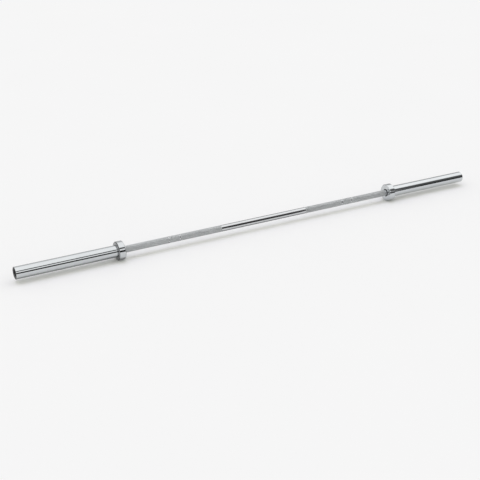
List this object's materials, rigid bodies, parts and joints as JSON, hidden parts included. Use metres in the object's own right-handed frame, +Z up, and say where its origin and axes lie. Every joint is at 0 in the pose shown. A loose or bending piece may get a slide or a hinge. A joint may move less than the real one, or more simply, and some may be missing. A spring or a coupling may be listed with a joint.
{
  "type": "barbell",
  "caption": "Long round steel bar with knurled grip zones, a smooth centre, and at each end a collar and a plate sleeve that spins freely on bushings.",
  "frame": {"origin": "on the bar's axis, at its middle", "axes": "+X along the bar, out of the end named right; +Z up; the picture looks from the -X, -Y side, so the end named left is the near one"},
  "size_m": [2.2, 0.078, 0.078],
  "materials": {
    "shaft_chrome": "satin",
    "bright_chrome": "polished",
    "sintered_bronze": "satin",
    "hardened_steel": "satin",
    "spring_steel": "satin",
    "black_plastic": "matte",
    "black_rubber": "matte"
  },
  "bodies": {
    "shaft": {"shaft": "shaft_chrome", "left_inner_thrust_washer": "hardened_steel", "left_outer_thrust_washer": "hardened_steel", "left_shaft_snap_ring": "spring_steel", "right_inner_thrust_washer": "hardened_steel", "right_outer_thrust_washer": "hardened_steel", "right_shaft_snap_ring": "spring_steel"},
    "left_sleeve": {"left_sleeve_tube": "bright_chrome", "left_collar": "bright_chrome", "left_dust_seal": "black_rubber", "left_inner_bushing": "sintered_bronze", "left_outer_bushing": "sintered_bronze", "left_end_cap": "black_plastic", "left_cap_snap_ring": "spring_steel"},
    "right_sleeve": {"right_sleeve_tube": "bright_chrome", "right_collar": "bright_chrome", "right_dust_seal": "black_rubber", "right_inner_bushing": "sintered_bronze", "right_outer_bushing": "sintered_bronze", "right_end_cap": "black_plastic", "right_cap_snap_ring": "spring_steel"}
  },
  "joints": [
    {"name": "left_sleeve_spin", "type": "hinge", "parent": "shaft", "child": "left_sleeve", "pos_m": [-0.655, 0, 0], "axis": [1, 0, 0], "continuous": true},
    {"name": "right_sleeve_spin", "type": "hinge", "parent": "shaft", "child": "right_sleeve", "pos_m": [0.655, 0, 0], "axis": [1, 0, 0], "continuous": true}
  ]
}
